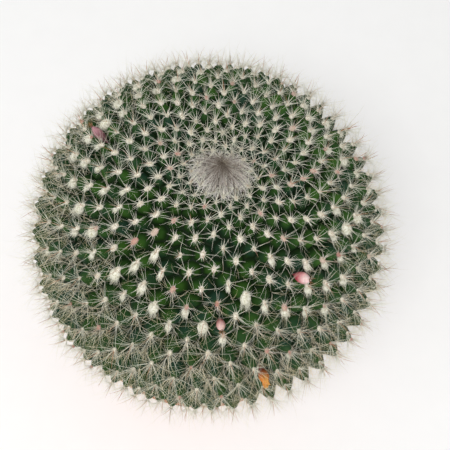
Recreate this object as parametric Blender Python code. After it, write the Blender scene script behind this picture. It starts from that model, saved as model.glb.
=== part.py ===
"""Old lady cactus: one globe of spiny tubercles, with its young fruits, in a plain clay pot.

Metres, +Z up. The origin is the middle of the pot's foot, on the surface that it stands on.
"""

import math
import random

import bmesh
import bpy
import numpy as np
from mathutils import Vector

# Pot: plain turned clay, a little narrower than the plant, so that the globe hides it from above
POT_HEIGHT = 0.0620
POT_FOOT_RADIUS = 0.0285
POT_NECK_RADIUS = 0.0390
POT_RIM_RADIUS = 0.0415
POT_RIM_BAND = 0.0100
POT_RIM_WALL = 0.0040
POT_LIP_ROUND = 0.0012
POT_FLOOR = 0.0050
POT_FLOOR_RADIUS = 0.0245
POT_DRAIN_RADIUS = 0.0060
POT_SEGMENTS = 48

# Soil: fills the pot to just under its lip, with a plain round hole for the root
SOIL_BELOW_LIP = 0.0038
SOIL_GRAIN = 0.00025
SOIL_RINGS = 5
SOIL_SEED = 11

# Stem: a globe with a sunken crown, measured over the tips of its tubercles
GLOBE_RADIUS = 0.0485
GLOBE_HALF_HEIGHT = 0.0438
GLOBE_ABOVE_SOIL = 0.0343
CROWN_DIP = 0.0045
CROWN_DIP_RADIUS = 0.0100
ROOT_RADIUS = 0.0240
ROOT_DEPTH = 0.0120
ROOT_SHOULDER = 0.0008
ROOT_SEGMENTS = 24

# Tubercles: one every golden angle, small at the crown and larger down the sides
GOLDEN_ANGLE = math.pi * (3 - math.sqrt(5))
SPACING_CROWN = 0.0016
SPACING_SIDE = 0.0084
SPACING_GROWTH = 0.0380
SPACING_LEAST = 0.0026
CELL_AREA = 0.90
TUBERCLE_DEPTH = 0.78
LAST_TUBERCLE = math.radians(137)
LAST_SPINED = math.radians(116)
TIP_CUT_PERCENT = 11.0
TIP_CROWN = 0.0003

# Spines: one standing and two spreading on each tubercle, longer down the sides
SPINE_SEED = 5
SPINE_LENGTH_CROWN = 0.0038
SPINE_LENGTH_SIDE = 0.0068
SPINE_LENGTH_SPREAD = 0.12
SPINE_TILTS = ((20, 12, 4), (56, 44, 32, 20), (56, 44, 32, 20))
SPINE_SHARES = (1.0, 0.75, 0.5, 0.3)
SPINE_CLEARANCE = 0.0008
SPINE_SAMPLES = 7

# Fruits and a withered flower, out of the axils between the tubercles: name, angle from the
# crown, azimuth, radius, length, and how far along it is widest
FRUITS = (
    ("fruit_right", math.radians(38), math.radians(-40), 0.0014, 0.0085, 1.30),
    ("fruit_front", math.radians(46), math.radians(-79), 0.0011, 0.0072, 1.30),
    ("fruit_left", math.radians(42), math.radians(167), 0.0012, 0.0076, 1.30),
    ("withered_flower", math.radians(67), math.radians(-65), 0.0018, 0.0084, 1.70),
)
FRUIT_COLOURS = {"withered_flower": (0.62, 0.25, 0.07)}
FRUIT_PINK = (0.62, 0.14, 0.20)
FRUIT_SEGMENTS = 10
FRUIT_RINGS = 8

# Clearance between pieces that touch
GAP = 0.0003

SOIL_TOP = POT_HEIGHT - SOIL_BELOW_LIP
GLOBE_CENTRE = SOIL_TOP + GLOBE_ABOVE_SOIL


def clear_scene():
    for obj in list(bpy.data.objects):
        bpy.data.objects.remove(obj, do_unlink=True)


def material(name, colour, roughness):
    made = bpy.data.materials.new(name)
    made.use_nodes = True
    shader = made.node_tree.nodes["Principled BSDF"]
    shader.inputs["Base Color"].default_value = (*colour, 1)
    shader.inputs["Roughness"].default_value = roughness
    shader.inputs["Metallic"].default_value = 0
    return made


def add_object(name, bm, *materials):
    """A named object of the mesh, its faces turned outward."""
    mesh = bpy.data.meshes.new(name)
    bmesh.ops.recalc_face_normals(bm, faces=bm.faces)
    bm.to_mesh(mesh)
    bm.free()
    for each in materials:
        mesh.materials.append(each)
    obj = bpy.data.objects.new(name, mesh)
    bpy.context.scene.collection.objects.link(obj)
    return obj


def turned(profile, closed, segments):
    """The solid that a profile of (radius, height) points sweeps once round the Z axis."""
    bm = bmesh.new()
    points = [bm.verts.new((radius, 0, height)) for radius, height in profile]
    edges = [bm.edges.new(pair) for pair in zip(points, points[1:])]
    if closed:
        edges.append(bm.edges.new((points[-1], points[0])))
    bmesh.ops.spin(
        bm,
        geom=points + edges,
        axis=(0, 0, 1),
        cent=(0, 0, 0),
        angle=2 * math.pi,
        steps=segments,
        use_merge=True,
    )
    bmesh.ops.remove_doubles(bm, verts=bm.verts, dist=1e-6)
    return bm


def pot_inside(height):
    """Radius of the pot's inner wall at a height."""
    share = (height - POT_FLOOR) / (POT_HEIGHT - POT_FLOOR)
    return POT_FLOOR_RADIUS + share * (POT_RIM_RADIUS - POT_RIM_WALL - POT_FLOOR_RADIUS)


def make_pot():
    band_foot = POT_HEIGHT - POT_RIM_BAND
    profile = [
        (POT_DRAIN_RADIUS, 0),
        (POT_FOOT_RADIUS - POT_LIP_ROUND, 0),
        (POT_FOOT_RADIUS, POT_LIP_ROUND),
        (POT_NECK_RADIUS, band_foot),
        (POT_RIM_RADIUS - POT_LIP_ROUND / 2, band_foot),
        (POT_RIM_RADIUS, band_foot + POT_LIP_ROUND),
        (POT_RIM_RADIUS, POT_HEIGHT - POT_LIP_ROUND),
        (POT_RIM_RADIUS - POT_LIP_ROUND, POT_HEIGHT),
        (pot_inside(POT_HEIGHT) + POT_LIP_ROUND, POT_HEIGHT),
        (pot_inside(POT_HEIGHT - POT_LIP_ROUND), POT_HEIGHT - POT_LIP_ROUND),
        (POT_FLOOR_RADIUS, POT_FLOOR),
        (POT_DRAIN_RADIUS, POT_FLOOR),
    ]
    bm = turned(profile, True, POT_SEGMENTS)
    pot = add_object("pot", bm, material("terracotta", (0.42, 0.17, 0.085), 0.85))
    pot.data.shade_smooth()
    pot.data.set_sharp_from_angle(angle=math.radians(30))


def make_soil():
    hole = ROOT_RADIUS + GAP
    hole_floor = SOIL_TOP - ROOT_DEPTH - GAP
    edge = pot_inside(SOIL_TOP) - GAP
    foot = POT_FLOOR + GAP
    rings = [hole + (edge - hole) * step / (SOIL_RINGS - 1) for step in range(SOIL_RINGS)]
    profile = [(0, hole_floor), (hole, hole_floor)]
    profile += [(radius, SOIL_TOP) for radius in rings]
    profile += [(pot_inside(foot) - GAP, foot), (0, foot)]
    bm = turned(profile, False, POT_SEGMENTS)
    grain = random.Random(SOIL_SEED)
    for vert in bm.verts:
        inside = hole + GAP < math.hypot(vert.co.x, vert.co.y) < edge - GAP
        if inside and abs(vert.co.z - SOIL_TOP) < GAP:
            vert.co.z += grain.uniform(-SOIL_GRAIN, SOIL_GRAIN)
    add_object("soil", bm, material("potting_soil", (0.045, 0.03, 0.02), 0.95))


def tip_profile(polar):
    """(radius, height) of the surface over the tubercles' tips, at an angle from the crown."""
    radius = GLOBE_RADIUS * math.sin(polar)
    dip = CROWN_DIP * math.exp(-((radius / CROWN_DIP_RADIUS) ** 2))
    return radius, GLOBE_CENTRE + GLOBE_HALF_HEIGHT * math.cos(polar) - dip


def profile_slope(polar):
    """How far the profile runs out and down for each radian from the crown."""
    step = 1e-4
    radius, height = tip_profile(polar)
    radius_ahead, height_ahead = tip_profile(polar + step)
    return (radius_ahead - radius) / step, (height - height_ahead) / step


def spacing(polar):
    """Distance between neighbouring tubercles at an angle from the crown."""
    grown = math.exp(-GLOBE_RADIUS * polar / SPACING_GROWTH)
    return max(SPACING_LEAST, SPACING_SIDE - (SPACING_SIDE - SPACING_CROWN) * grown)


def tubercle_angles():
    """The angle from the crown and the azimuth of each tubercle, youngest first."""
    angles = []
    polar = math.sqrt(CELL_AREA / (2 * math.pi)) * SPACING_LEAST / GLOBE_RADIUS
    while polar < LAST_TUBERCLE:
        angles.append((polar, len(angles) * GOLDEN_ANGLE))
        ring = 2 * math.pi * tip_profile(polar)[0] * math.hypot(*profile_slope(polar))
        polar += CELL_AREA * spacing(polar) ** 2 / ring
    return angles


def on_sphere(polar, azimuth):
    across = math.sin(polar)
    return Vector((across * math.cos(azimuth), across * math.sin(azimuth), math.cos(polar)))


def angles_of(direction):
    polar = math.atan2(math.hypot(direction.x, direction.y), direction.z)
    return polar, math.atan2(direction.y, direction.x)


def outward(polar, azimuth):
    """The globe's outward direction at two angles."""
    out, down = profile_slope(polar)
    lean = Vector((down * math.cos(azimuth), down * math.sin(azimuth), out))
    return lean.normalized()


def on_globe(polar, azimuth, depth=0.0):
    """The place on the tips' surface at two angles, or that far under it."""
    radius, height = tip_profile(polar)
    tip = Vector((radius * math.cos(azimuth), radius * math.sin(azimuth), height))
    return tip - outward(polar, azimuth) * depth


def centre(face):
    return tuple(face.calc_center_median())


def shape_root(shoulder, foot, middle):
    """The smooth base that stands in the soil's hole."""
    for verts, height in ((shoulder, SOIL_TOP + ROOT_SHOULDER), (foot, SOIL_TOP - ROOT_DEPTH)):
        for vert in verts:
            azimuth = math.atan2(vert.co.y, vert.co.x)
            vert.co.x = ROOT_RADIUS * math.cos(azimuth)
            vert.co.y = ROOT_RADIUS * math.sin(azimuth)
            vert.co.z = height
    middle.co = (0, 0, SOIL_TOP - ROOT_DEPTH)


def tubercle_net(bm, angles):
    """Tips joined in a net on the unit sphere, with an axil in each triangle. Each edge between
    two tips is turned to join two axils, so that a tubercle is a cone with a valley round it."""
    tips = [bm.verts.new(on_sphere(*each)) for each in angles]
    turns = [2 * math.pi * step / ROOT_SEGMENTS for step in range(ROOT_SEGMENTS)]
    shoulder = [bm.verts.new(on_sphere(math.radians(150), azimuth)) for azimuth in turns]
    foot = [bm.verts.new(on_sphere(math.radians(165), azimuth)) for azimuth in turns]
    middle = bm.verts.new((0, 0, -1))
    bmesh.ops.convex_hull(bm, input=bm.verts[:])
    grown = set(tips)
    cells = sorted((face for face in bm.faces if grown.issuperset(face.verts)), key=centre)
    inside = set(cells)
    ridges = [edge for edge in bm.edges if inside.issuperset(edge.link_faces)]
    axils = bmesh.ops.poke(bm, faces=cells)["verts"]
    bmesh.ops.rotate_edges(bm, edges=ridges, use_ccw=False)
    for vert in tips:
        vert.co = on_globe(*angles_of(vert.co))
    for vert in axils:
        polar, azimuth = angles_of(vert.co)
        vert.co = on_globe(polar, azimuth, TUBERCLE_DEPTH * spacing(polar))
    shape_root(shoulder, foot, middle)
    return tips, [vert.co.copy() for vert in axils]


def cut_tips(bm, tips):
    """Each tip is cut to a small flat triangle, and the middles of those triangles are returned."""
    surplus = []
    for tip in tips:
        around = sorted(tip.link_edges, key=lambda edge: turn_of(tip, edge.other_vert(tip)))
        kept = {around[len(around) * third // 3] for third in range(3)}
        surplus += [edge for edge in around if edge not in kept]
    bmesh.ops.dissolve_edges(bm, edges=surplus, use_verts=False)
    cut = bmesh.ops.bevel(
        bm,
        geom=tips,
        offset=TIP_CUT_PERCENT,
        offset_type="PERCENT",
        segments=1,
        profile=0.5,
        affect="VERTICES",
        material=-1,
    )
    return bmesh.ops.poke(bm, faces=sorted(cut["faces"], key=centre))["verts"]


def turn_of(tip, axil):
    """The direction of an axil round its tip, seen from outside."""
    polar, azimuth = globe_angles(tip.co)
    along = Vector((-math.sin(azimuth), math.cos(azimuth), 0))
    across = outward(polar, azimuth).cross(along)
    step = axil.co - tip.co
    return math.atan2(step.dot(across), step.dot(along))


def globe_angles(place):
    """The two angles of a place on or near the globe."""
    flat = math.hypot(place.x, place.y)
    lift = CROWN_DIP * math.exp(-((flat / CROWN_DIP_RADIUS) ** 2))
    polar = math.atan2(flat / GLOBE_RADIUS, (place.z + lift - GLOBE_CENTRE) / GLOBE_HALF_HEIGHT)
    return polar, math.atan2(place.y, place.x)


def clear_spine(foot, normal, side, length, tilts, taken):
    """Points along the longest and furthest leaning spine that passes clear of those in place."""
    steps = np.linspace(1 / SPINE_SAMPLES, 1, SPINE_SAMPLES)[:, None]
    for share in SPINE_SHARES:
        for tilt in tilts:
            lean = math.radians(tilt)
            direction = normal * math.cos(lean) + side * math.sin(lean)
            points = np.array(foot) + steps * share * length * np.array(direction)
            apart = np.linalg.norm(points[:, None] - taken[None], axis=2)
            if apart.min(initial=1.0) > SPINE_CLEARANCE:
                return points
    return points


def raise_spines(bm, middles):
    """Three slim spikes drawn up out of each cut tip. Returns the faces that they are made of."""
    draw = random.Random(SPINE_SEED)
    places = [globe_angles(vert.co) for vert in middles]
    for vert, angles in zip(middles, places):
        vert.co += outward(*angles) * TIP_CROWN
    flat = [face for vert in middles for face in sorted(vert.link_faces, key=centre)]
    feet = [face.calc_center_median() for face in flat]
    spikes = bmesh.ops.poke(bm, faces=flat)["verts"]
    taken = np.empty((0, 3))
    for index, spike in enumerate(spikes):
        middle, turn = divmod(index, 3)
        polar, azimuth = places[middle]
        normal = outward(polar, azimuth)
        side = feet[index] - middles[middle].co
        side = (side - normal * side.dot(normal)).normalized()
        grown = min(1, 2 * polar / LAST_SPINED)
        length = SPINE_LENGTH_CROWN + grown * (SPINE_LENGTH_SIDE - SPINE_LENGTH_CROWN)
        length *= draw.uniform(1 - SPINE_LENGTH_SPREAD, 1 + SPINE_LENGTH_SPREAD)
        others = taken[: len(taken) - turn * SPINE_SAMPLES]
        near = np.linalg.norm(others - np.array(feet[index]), axis=1) < 2 * length
        points = clear_spine(
            feet[index], normal, side, length, SPINE_TILTS[turn], others[near]
        )
        spike.co = points[-1]
        taken = np.vstack([taken, points])
    return {face for spike in spikes for face in spike.link_faces}


def make_stem():
    """The green body, with the spines that grow on it. Returns where its axils are."""
    bm = bmesh.new()
    angles = tubercle_angles()
    tips, axils = tubercle_net(bm, angles)
    spined = [tip for tip, (polar, azimuth) in zip(tips, angles) if polar < LAST_SPINED]
    spine_faces = raise_spines(bm, cut_tips(bm, spined))
    for face in spine_faces:
        face.material_index = 1
    bmesh.ops.triangulate(bm, faces=bm.faces[:])
    green = material("cactus_green", (0.075, 0.14, 0.075), 0.6)
    cream = material("cream_spine", (0.72, 0.66, 0.56), 0.7)
    add_object("stem", bm, green, cream)
    return axils


def make_fruit(name, place, radius, length, late):
    """A drop-shaped fruit that stands on its point in an axil."""
    bm = bmesh.new()
    bmesh.ops.create_uvsphere(bm, u_segments=FRUIT_SEGMENTS, v_segments=FRUIT_RINGS, radius=1)
    up = outward(*globe_angles(place))
    turn = Vector((0, 0, 1)).rotation_difference(up)
    for vert in bm.verts:
        share = (vert.co.z + 1) / 2
        flat = math.hypot(vert.co.x, vert.co.y) or 1
        wide = radius * math.sin(math.pi * share**late) / flat
        drop = Vector((vert.co.x * wide, vert.co.y * wide, share * length))
        vert.co = place + up * GAP + turn @ drop
    colour = FRUIT_COLOURS.get(name, FRUIT_PINK)
    fruit = add_object(name, bm, material(name + "_skin", colour, 0.45))
    fruit.data.shade_smooth()


def make_fruits(axils):
    """Each fruit stands in the axil nearest to its two angles."""
    for name, polar, azimuth, radius, length, late in FRUITS:
        wanted = on_globe(polar, azimuth, TUBERCLE_DEPTH * spacing(polar))
        place = min(axils, key=lambda axil: (axil - wanted).length)
        make_fruit(name, place, radius, length, late)


clear_scene()
make_pot()
make_soil()
make_fruits(make_stem())
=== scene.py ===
import math

import bmesh
import bpy
import numpy as np
from mathutils import Matrix, Vector
from mathutils.kdtree import KDTree


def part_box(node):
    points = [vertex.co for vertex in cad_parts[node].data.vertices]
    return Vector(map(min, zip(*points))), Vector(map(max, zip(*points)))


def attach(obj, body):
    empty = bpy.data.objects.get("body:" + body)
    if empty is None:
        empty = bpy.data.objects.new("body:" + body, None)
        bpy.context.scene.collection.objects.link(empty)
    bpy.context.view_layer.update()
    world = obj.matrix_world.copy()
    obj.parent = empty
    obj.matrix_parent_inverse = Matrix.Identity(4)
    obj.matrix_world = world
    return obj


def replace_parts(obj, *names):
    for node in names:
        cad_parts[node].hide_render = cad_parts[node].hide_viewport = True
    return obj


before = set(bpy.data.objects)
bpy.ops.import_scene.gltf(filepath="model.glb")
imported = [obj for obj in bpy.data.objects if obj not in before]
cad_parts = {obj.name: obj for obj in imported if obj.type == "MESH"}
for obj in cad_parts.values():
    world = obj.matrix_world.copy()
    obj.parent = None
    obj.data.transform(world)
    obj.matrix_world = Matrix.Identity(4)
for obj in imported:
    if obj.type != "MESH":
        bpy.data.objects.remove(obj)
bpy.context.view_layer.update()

MM = 0.001

# Camera: looks steeply down on the globe from about 22 cm, turned a little about its
# own axis, and aimed so that the globe's middle falls on its pixel of the photograph.
GLOBE_MIDDLE = 92.5 * MM
CAMERA_AWAY = 220 * MM
CAMERA_ELEVATION = math.radians(67.888)
CAMERA_ROLL = math.radians(11.225)
FRAME_PIXELS = 450
FOCAL_PIXELS = 786
MIDDLE_PIXEL = (209.5, 233.8)
SENSOR = 36
CAMERA_NEAR = 10 * MM

back = Vector((0, -math.cos(CAMERA_ELEVATION), math.sin(CAMERA_ELEVATION)))
up = back.cross(Vector((1, 0, 0)))
right = Vector((1, 0, 0)) * math.cos(CAMERA_ROLL) + up * math.sin(CAMERA_ROLL)
level = Matrix((right, back.cross(right), back)).transposed()
half_frame = FRAME_PIXELS / 2
to_middle = Vector((MIDDLE_PIXEL[0] - half_frame, half_frame - MIDDLE_PIXEL[1], -FOCAL_PIXELS))
aim = to_middle.rotation_difference(Vector((0, 0, -1))).to_matrix()
camera_data = bpy.data.cameras.new("camera")
camera_data.sensor_width = SENSOR
camera_data.lens = SENSOR * FOCAL_PIXELS / FRAME_PIXELS
camera_data.clip_start = CAMERA_NEAR
camera = bpy.data.objects.new("camera", camera_data)
camera.matrix_world = (level @ aim).to_4x4()
camera.location = Vector((0, 0, GLOBE_MIDDLE)) + back * CAMERA_AWAY
bpy.context.collection.objects.link(camera)
bpy.context.scene.camera = camera


# Floor and light: a plain white studio table, one broad soft lamp close to the camera's
# line, so that the shadow falls behind the plant, a weak one at the left, and an even
# white room that fills the shadows. A lamp is given by its name, place, width and power.
FLOOR_SIZE = 4.0
FLOOR_WHITE = "#FBFBFA"
FLOOR_SPECKLE = 2.5 * MM
ROOM_WHITE = "#FFFFFF"
ROOM_STRENGTH = 0.49
LAMPS = (
    ("lamp_over_camera", (-0.10, -0.46, 1.03), 0.55, 7.7),
    ("lamp_left", (-0.50, -0.50, 0.85), 0.50, 1.0),
)


def linear(colour):
    """An sRGB hex colour as linear red, green, blue and a full alpha."""
    shares = [int(colour[start:start + 2], 16) / 255 for start in (1, 3, 5)]
    turned = [share / 12.92 if share <= 0.04045 else ((share + 0.055) / 1.055) ** 2.4 for share in shares]
    return (*turned, 1.0)


def add(tree, kind, inputs=(), **settings):
    """Adds a node with its settings. An input takes a number, a colour or a socket to link."""
    made = tree.nodes.new(kind)
    for name, value in settings.items():
        setattr(made, name, value)
    for key, value in dict(inputs).items():
        if isinstance(value, bpy.types.NodeSocket):
            tree.links.new(value, made.inputs[key])
        else:
            made.inputs[key].default_value = value
    return made


def start_material(name):
    """A new material with its node tree and its shader."""
    made = bpy.data.materials.new(name)
    made.use_nodes = True
    return made, made.node_tree, made.node_tree.nodes["Principled BSDF"]


def piece_of(name, mesh, finish):
    """An object of the mesh at the origin, with its finish."""
    mesh.materials.append(finish)
    made = bpy.data.objects.new(name, mesh)
    bpy.context.collection.objects.link(made)
    return made


# White laminate: smooth and nearly matt, with a speckle so faint that it reads as plain.
white_table, tree, shader = start_material("white_laminate_table")
speckle = add(tree, "ShaderNodeTexNoise", {"Scale": 1 / FLOOR_SPECKLE, "Detail": 2.0})
faint = add(tree, "ShaderNodeMapRange", {"Value": speckle.outputs[0], 3: 0.97, 4: 1.0})
tone = add(
    tree,
    "ShaderNodeMix",
    {0: 1.0, 6: linear(FLOOR_WHITE), 7: faint.outputs[0]},
    data_type="RGBA",
    blend_type="MULTIPLY",
)
tree.links.new(tone.outputs[2], shader.inputs["Base Color"])
shader.inputs["Roughness"].default_value = 0.6
shader.inputs["Specular IOR Level"].default_value = 0.2
floor_shape = bmesh.new()
bmesh.ops.create_grid(floor_shape, x_segments=1, y_segments=1, size=FLOOR_SIZE / 2)
floor_mesh = bpy.data.meshes.new("floor")
floor_shape.to_mesh(floor_mesh)
floor_shape.free()
piece_of("floor", floor_mesh, white_table)

for name, place, size, power in LAMPS:
    lamp_data = bpy.data.lights.new(name, "AREA")
    lamp_data.shape = "DISK"
    lamp_data.size = size
    lamp_data.energy = power
    lamp = bpy.data.objects.new(name, lamp_data)
    lamp.location = place
    lamp.rotation_euler = (Vector(place) - Vector((0, 0, GLOBE_MIDDLE))).to_track_quat("Z", "Y").to_euler()
    bpy.context.collection.objects.link(lamp)

room = bpy.data.worlds.new("white_room")
room.use_nodes = True
room_light = room.node_tree.nodes["Background"]
room_light.inputs["Color"].default_value = linear(ROOM_WHITE)
room_light.inputs["Strength"].default_value = ROOM_STRENGTH
bpy.context.scene.world = room
bpy.context.scene.view_settings.view_transform = "Standard"


# Stem: one firm green globe that grew as a single body, set all over with blunt cones,
# the tubercles, in spirals a golden angle apart, with deep dark valleys between them.
# Its smooth root end stands in the soil.
GOLDEN_ANGLE = math.pi * (3 - math.sqrt(5))
GLOBE_RADIUS = 48.5 * MM
GLOBE_HALF_HEIGHT = 43.8 * MM
CROWN_DIP = 4.5 * MM
CROWN_DIP_RADIUS = 10 * MM
SPACING_CROWN = 1.6 * MM
SPACING_SIDE = 8.4 * MM
SPACING_GROWTH = 38 * MM
SPACING_LEAST = 2.6 * MM
CELL_AREA = 0.90
LAST_TUBERCLE = math.radians(137)
PROFILE_STEP = 1e-4

# A cone's depth and its reach sideways are shares of the spacing there
TUBERCLE_DEPTH = 0.78
TUBERCLE_REACH = 0.52
TUBERCLE_BLUNTNESS = 1.35
TUBERCLE_ROUNDNESS = 2.4
TUBERCLE_CUTS = 4

ROOT_RADIUS = 24 * MM
ROOT_TOP = 59 * MM
ROOT_FOOT = 46.2 * MM
ROOT_ANGLE = math.radians(150)
ROOT_ANGLE_STEP = math.radians(15)
ROOT_SEGMENTS = 24
# Painted shade: the nearly black colour that the skin takes low in the valleys between the cones
SKIN_VALLEY_SHADE = "#0B1B07"
SKIN_GREEN = "#254019"
SKIN_BLUE = "#203A2B"
SKIN_TIP = "#445C31"
# Painted light, in part: the fresh green of young skin, laid in a ring round the globe, also stands in for
# sunlit flanks
SKIN_YOUNG_AND_LIT = "#33551E"
YOUNG_AND_LIT_RING = math.radians(34)
YOUNG_AND_LIT_WIDTH = math.radians(18)
SKIN_PATCH = 9 * MM
SKIN_YOUNG_AND_LIT_PATCH = 5 * MM
SKIN_PORE = 0.35 * MM
SKIN_PORE_DEPTH = 0.05 * MM


def tip_surface(polar, azimuth):
    """Places on the surface over the tubercles' tips, with the directions out of it and down it."""
    radius = GLOBE_RADIUS * np.sin(polar)
    dip = CROWN_DIP * np.exp(-((radius / CROWN_DIP_RADIUS) ** 2))
    height = GLOBE_MIDDLE + GLOBE_HALF_HEIGHT * np.cos(polar) - dip
    run = GLOBE_RADIUS * np.cos(polar)
    fall = GLOBE_HALF_HEIGHT * np.sin(polar) - dip * 2 * radius / CROWN_DIP_RADIUS**2 * run
    steep = np.hypot(run, fall)
    east, north = np.cos(azimuth), np.sin(azimuth)
    place = np.stack([radius * east, radius * north, height], axis=-1)
    out = np.stack([fall * east, fall * north, run], axis=-1) / steep[..., None]
    down = np.stack([run * east, run * north, -fall], axis=-1) / steep[..., None]
    return place, out, down


def spacing(polar):
    """Distance between neighbouring tubercles at an angle from the crown."""
    grown = np.exp(-GLOBE_RADIUS * polar / SPACING_GROWTH)
    return np.maximum(SPACING_LEAST, SPACING_SIDE - (SPACING_SIDE - SPACING_CROWN) * grown)


def on_sphere(polar, azimuth):
    """Directions at an angle from the crown and an azimuth."""
    across = np.sin(polar)
    return np.stack([across * np.cos(azimuth), across * np.sin(azimuth), np.cos(polar)], axis=-1)


def angles_of(directions):
    """The angle from the crown and the azimuth of each direction."""
    x, y, z = directions.T
    return np.arctan2(np.hypot(x, y), z), np.arctan2(y, x)


def unit(directions):
    """The same directions, each of length 1."""
    return directions / np.linalg.norm(directions, axis=1)[:, None]


tip_polar = []
polar = math.sqrt(CELL_AREA / (2 * math.pi)) * SPACING_LEAST / GLOBE_RADIUS
while polar < LAST_TUBERCLE:
    tip_polar.append(polar)
    place, _, _ = tip_surface(polar, 0.0)
    ahead, _, _ = tip_surface(polar + PROFILE_STEP, 0.0)
    ring = 2 * math.pi * place[0] * np.linalg.norm(ahead - place) / PROFILE_STEP
    polar += CELL_AREA * float(spacing(polar)) ** 2 / ring
tip_polar = np.array(tip_polar)
tip_azimuth = np.arange(len(tip_polar)) * GOLDEN_ANGLE
tip_place, tip_out, tip_down = tip_surface(tip_polar, tip_azimuth)
tip_side = np.cross(tip_out, tip_down)
tip_spacing = spacing(tip_polar)

body = bmesh.new()
crest = body.verts.layers.float.new("crest")
rooted = body.verts.layers.float.new("rooted")
# The ring of fresh green, partly painted light, is kept for each point
young_and_lit = body.verts.layers.float.new("young_and_lit")
heading = body.verts.layers.float_vector.new("heading")
tips = [body.verts.new(each) for each in on_sphere(tip_polar, tip_azimuth)]
root_azimuth = np.arange(ROOT_SEGMENTS) * 2 * math.pi / ROOT_SEGMENTS
root_angle = np.full(ROOT_SEGMENTS, ROOT_ANGLE)
shoulder = [body.verts.new(each) for each in on_sphere(root_angle, root_azimuth)]
foot = [body.verts.new(each) for each in on_sphere(root_angle + ROOT_ANGLE_STEP, root_azimuth)]
foot_middle = body.verts.new((0, 0, -1))
bmesh.ops.convex_hull(body, input=body.verts[:])
grown = set(tips)
cells = sorted(
    (face for face in body.faces if grown.issuperset(face.verts)),
    key=lambda face: tuple(face.calc_center_median()),
)
inside = set(cells)
ridges = [edge for edge in body.edges if inside.issuperset(edge.link_faces)]
axils = bmesh.ops.poke(body, faces=cells)["verts"]
bmesh.ops.rotate_edges(body, edges=ridges, use_ccw=False)
for vert in body.verts:
    vert[heading] = vert.co.normalized()
for vert in tips:
    vert[crest] = 1.0
for vert in shoulder + foot + [foot_middle]:
    vert[rooted] = 1.0
axil_polar, axil_azimuth = angles_of(np.array([vert.co for vert in axils]))
for verts, height in ((shoulder, ROOT_TOP), (foot, ROOT_FOOT)):
    for vert, azimuth in zip(verts, root_azimuth):
        vert.co = (ROOT_RADIUS * math.cos(azimuth), ROOT_RADIUS * math.sin(azimuth), height)
foot_middle.co = (0, 0, ROOT_FOOT)
axil_place, axil_out, _ = tip_surface(axil_polar, axil_azimuth)
axil_place = axil_place - axil_out * (TUBERCLE_DEPTH * spacing(axil_polar))[:, None]
for vert, place in zip(tips + axils, np.concatenate([tip_place, axil_place])):
    vert.co = place
bmesh.ops.triangulate(body, faces=body.faces[:])
bmesh.ops.subdivide_edges(body, edges=body.edges[:], cuts=TUBERCLE_CUTS, use_grid_fill=True)
bmesh.ops.recalc_face_normals(body, faces=body.faces[:])

# Each cone is rounded: its points move sideways towards circles round the nearest tip
share = np.array([vert[crest] for vert in body.verts])
directions = unit(np.array([vert[heading] for vert in body.verts]))
tip_directions = on_sphere(tip_polar, tip_azimuth)
nearest = KDTree(len(tip_directions))
for index, each in enumerate(tip_directions):
    nearest.insert(each, index)
nearest.balance()
own = np.array([nearest.find(each)[1] for each in directions])
offset = directions - tip_directions[own]
across = np.linalg.norm(offset, axis=1) + 1e-9
round_across = (1 - share) * TUBERCLE_REACH * tip_spacing[own] / GLOBE_RADIUS
toward_round = share * (1 - share) * TUBERCLE_ROUNDNESS
directions = tip_directions[own] + offset * (1 + toward_round * (round_across / across - 1))[:, None]
polar, azimuth = angles_of(directions)
surface, out, _ = tip_surface(polar, azimuth)
sink = TUBERCLE_DEPTH * spacing(polar) * (1 - share) ** TUBERCLE_BLUNTNESS
shaped = surface - out * sink[:, None]
for index, vert in enumerate(body.verts):
    if vert[rooted] == 0:
        vert.co = shaped[index]
    vert[rooted] = 0.0
    vert[young_and_lit] = math.exp(-(((polar[index] - YOUNG_AND_LIT_RING) / YOUNG_AND_LIT_WIDTH) ** 2))
stem_mesh = bpy.data.meshes.new("stem_body")
body.to_mesh(stem_mesh)
body.free()
stem_mesh.shade_smooth()

# Living cactus skin, smooth and waxy: mid green to blue-green in soft patches, fresh green in a ring
# where it is young, partly painted light of sunlit flanks, yellower at the tips, and painted shade,
# nearly black, low in the valleys, with fine pores.
cactus_skin, tree, shader = start_material("waxy_green_cactus_skin")
where = add(tree, "ShaderNodeTexCoord").outputs["Object"]
patches = add(tree, "ShaderNodeTexNoise", {"Vector": where, "Scale": 1 / SKIN_PATCH, "Detail": 3.0})
pores = add(tree, "ShaderNodeTexNoise", {"Vector": where, "Scale": 1 / SKIN_PORE, "Detail": 1.0})
height = add(tree, "ShaderNodeAttribute", attribute_name="crest").outputs["Fac"]
hue = add(tree, "ShaderNodeMapRange", {"Value": patches.outputs[0], 1: 0.38, 2: 0.62})
green = add(
    tree,
    "ShaderNodeMix",
    {0: hue.outputs[0], 6: linear(SKIN_GREEN), 7: linear(SKIN_BLUE)},
    data_type="RGBA",
)
# Fresh green in a ring round the globe, broken into patches: young skin, and in part painted light of
# sunlit flanks
young_and_lit_share = add(tree, "ShaderNodeAttribute", attribute_name="young_and_lit").outputs["Fac"]
young_and_lit_patches = add(tree, "ShaderNodeTexNoise", {"Vector": where, "Scale": 1 / SKIN_YOUNG_AND_LIT_PATCH, "Detail": 1.0})
young_and_lit_patchy = add(tree, "ShaderNodeMapRange", {"Value": young_and_lit_patches.outputs[0], 1: 0.42, 2: 0.60})
young_and_lit_share = add(tree, "ShaderNodeMath", {0: young_and_lit_share, 1: young_and_lit_patchy.outputs[0]}, operation="MULTIPLY")
fresh_and_lit = add(
    tree,
    "ShaderNodeMix",
    {0: young_and_lit_share.outputs[0], 6: green.outputs[2], 7: linear(SKIN_YOUNG_AND_LIT)},
    data_type="RGBA",
)
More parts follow.
